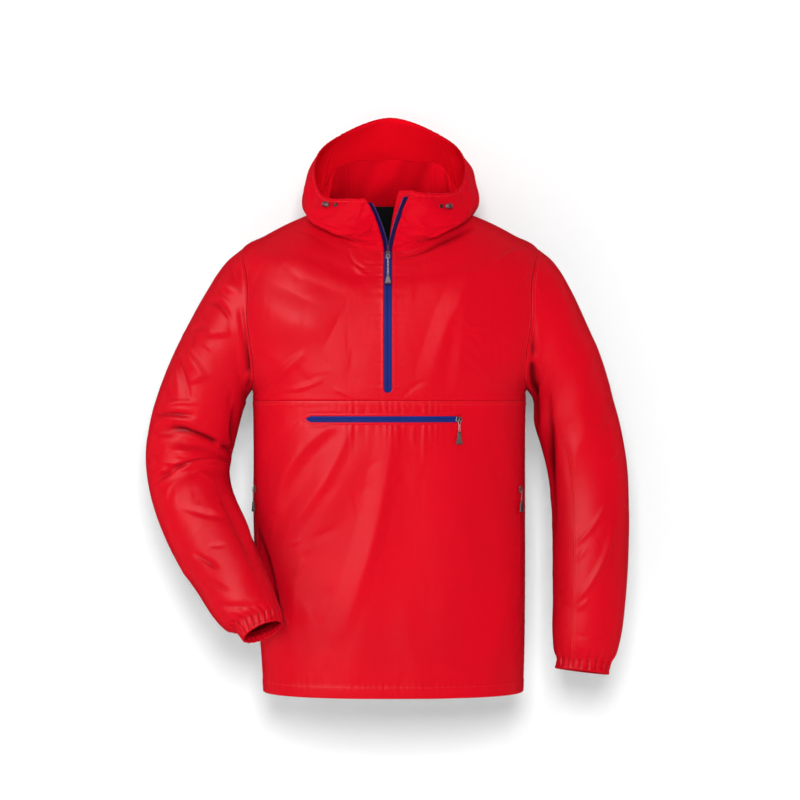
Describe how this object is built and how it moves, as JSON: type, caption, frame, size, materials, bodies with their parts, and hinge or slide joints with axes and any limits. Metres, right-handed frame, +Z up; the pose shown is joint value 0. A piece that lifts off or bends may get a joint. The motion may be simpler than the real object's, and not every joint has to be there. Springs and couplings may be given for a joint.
{
  "type": "hooded half-zip pullover wind jacket",
  "caption": "Hooded pullover wind jacket in its worn shape, hollow, with a half zip, chest and side zip pockets, raised hood and elastic cuffs.",
  "frame": {"origin": "centre of the base of the wearer's neck, level with the top of the shoulders, where the wearer holds the garment up", "axes": "+Z up, -Y out of the garment's front, +X towards the wearer's left sleeve"},
  "size_m": [0.7244, 0.3255, 0.8704],
  "materials": {
    "shell": "smooth red ripstop wind cloth with a faint sheen",
    "cuff": "doubled red wind cloth gathered over elastic",
    "zip_tape": "blue woven coil-zip tape",
    "label": "plain black woven label",
    "slider": "satin silver-grey enamel",
    "pull_link": "satin",
    "front_grip": "warm grey moulded",
    "side_grip": "dark moulded",
    "toggle": "light grey moulded",
    "eyelet": "dark enamel"
  },
  "bodies": {
    "garment": {"front_upper": "shell", "front_lower": "shell", "back": "shell", "sleeve_right_top": "shell", "sleeve_right_under": "shell", "sleeve_left_top": "shell", "sleeve_left_under": "shell", "cuff_right": "cuff", "cuff_left": "cuff", "hood_side_left": "shell", "hood_centre": "shell", "hood_side_right": "shell", "zip_flap": "shell", "zip_tape_front": "zip_tape", "zip_tape_left": "zip_tape", "zip_tape_right": "zip_tape", "zip_tape_pocket": "zip_tape", "zip_tape_side_left": "shell", "zip_tape_side_right": "shell", "neck_label": "label", "toggle_left": "toggle", "toggle_right": "toggle", "eyelet_left": "eyelet", "eyelet_right": "eyelet", "slider_front": "slider", "slider_pocket": "slider", "slider_side_left": "slider", "slider_side_right": "slider"},
    "front_pull": {"link_front": "pull_link", "grip_front": "front_grip"},
    "pocket_pull": {"link_pocket": "pull_link", "grip_pocket": "front_grip"},
    "side_left_pull": {"link_side_left": "pull_link", "grip_side_left": "side_grip"},
    "side_right_pull": {"link_side_right": "pull_link", "grip_side_right": "side_grip"}
  },
  "joints": [
    {"name": "front_pull_swing", "type": "hinge", "parent": "garment", "child": "front_pull", "pos_m": [-0.0025, -0.08881, -0.05294], "axis": [-1, -0.0001, 0], "range_deg": [0, 140]},
    {"name": "pocket_pull_swing", "type": "hinge", "parent": "garment", "child": "pocket_pull", "pos_m": [0.10151, -0.12394, -0.29577], "axis": [-0.9653, -0.2612, 0], "range_deg": [0, 165]},
    {"name": "side_left_pull_swing", "type": "hinge", "parent": "garment", "child": "side_left_pull", "pos_m": [0.19516, -0.05682, -0.39971], "axis": [-0.483, -0.8756, 0], "range_deg": [0, 165]},
    {"name": "side_right_pull_swing", "type": "hinge", "parent": "garment", "child": "side_right_pull", "pos_m": [-0.20261, -0.04583, -0.3996], "axis": [-0.3663, 0.9305, 0], "range_deg": [0, 165]}
  ]
}
